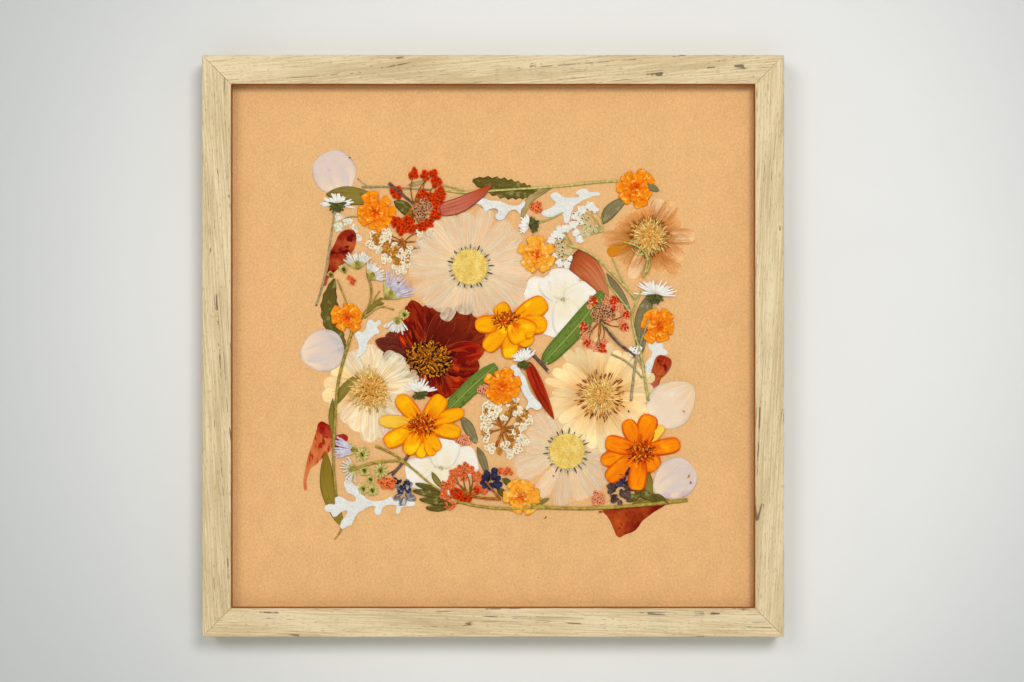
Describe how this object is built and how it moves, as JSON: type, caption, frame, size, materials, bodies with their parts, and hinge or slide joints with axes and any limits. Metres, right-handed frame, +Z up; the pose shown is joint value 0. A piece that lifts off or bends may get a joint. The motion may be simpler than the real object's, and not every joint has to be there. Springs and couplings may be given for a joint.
{
  "type": "pressed flower frame",
  "caption": "Square mitred oak wall frame with dried pressed flowers and leaves laid on kraft paper behind glass, hung by a sawtooth hanger.",
  "frame": {"origin": "the wall nail's place under the sawtooth hanger, in the plane of the moulding's back", "axes": "+Z up, +X to the viewer's right, +Y into the wall, so the glass faces -Y"},
  "size_m": [0.3262, 0.0225, 0.3262],
  "materials": {
    "moulding_oak": "limed, open pores, matt",
    "clear_glass": "polished",
    "kraft_paper": "matt, mottled",
    "backing_hardboard": "pressed fibre",
    "zinc_steel": "zinc plated",
    "brass_plate": "plated",
    "petal_cream": "translucent, fine veins",
    "petal_pale_yellow": "translucent, fine veins",
    "petal_amber": "translucent, fine veins",
    "petal_white": "matt",
    "petal_orange": "satin",
    "petal_crimson": "satin, veined",
    "petal_brick": "satin, veined",
    "leaf_silver": "felted",
    "pod_skin": "pearly",
    "leaf_olive": "matt, veined",
    "leaf_green": "matt, veined",
    "leaf_grey": "matt, veined"
  },
  "bodies": {
    "root": {"rail_top": "moulding_oak", "rail_right": "moulding_oak", "rail_bottom": "moulding_oak", "rail_left": "moulding_oak", "glass_pane": "clear_glass", "kraft_paper": "kraft_paper", "backing_board": "backing_hardboard", "retaining_point_top_a": "zinc_steel", "retaining_point_top_b": "zinc_steel", "retaining_point_right_a": "zinc_steel", "retaining_point_right_b": "zinc_steel", "retaining_point_bottom_a": "zinc_steel", "retaining_point_bottom_b": "zinc_steel", "retaining_point_left_a": "zinc_steel", "retaining_point_left_b": "zinc_steel", "sawtooth_hanger": "brass_plate", "hanger_nail_left": "brass_plate", "hanger_nail_right": "brass_plate", "daisy_top": "petal_cream", "daisy_bottom": "petal_cream", "daisy_yellow": "petal_pale_yellow", "daisy_cream": "petal_pale_yellow", "daisy_brown": "petal_amber", "crimson_flower": "petal_crimson", "zinnia_centre": "petal_orange", "zinnia_left": "petal_orange", "zinnia_right": "petal_orange", "marigold_1": "petal_orange", "marigold_2": "petal_orange", "marigold_3": "petal_orange", "marigold_4": "petal_orange", "marigold_5": "petal_orange", "marigold_6": "petal_orange", "marigold_7": "petal_orange", "hydrangea_right": "petal_white", "hydrangea_left": "petal_white", "honesty_disc_1": "pod_skin", "honesty_disc_2": "pod_skin", "honesty_disc_3": "pod_skin", "honesty_disc_4": "pod_skin", "silver_leaf_top": "leaf_silver", "silver_leaf_upper_right": "leaf_silver", "silver_leaf_left": "leaf_silver", "silver_leaf_centre": "leaf_silver", "silver_leaf_right": "leaf_silver", "silver_leaf_bottom": "leaf_silver", "petal_pink": "petal_brick", "petal_crimson": "petal_crimson", "petal_brick": "petal_brick", "petal_narrow": "petal_crimson", "petal_twisted": "petal_brick", "petal_folded": "petal_brick", "petal_triangle": "petal_crimson", "leaf_olive": "leaf_olive", "leaf_dark_green": "leaf_green", "leaf_blade_right": "leaf_green", "leaf_blade_left": "leaf_green", "leaf_grey_green": "leaf_grey", "leaf_spotted": "leaf_olive", "leaf_serrated": "leaf_olive"}
  },
  "joints": []
}
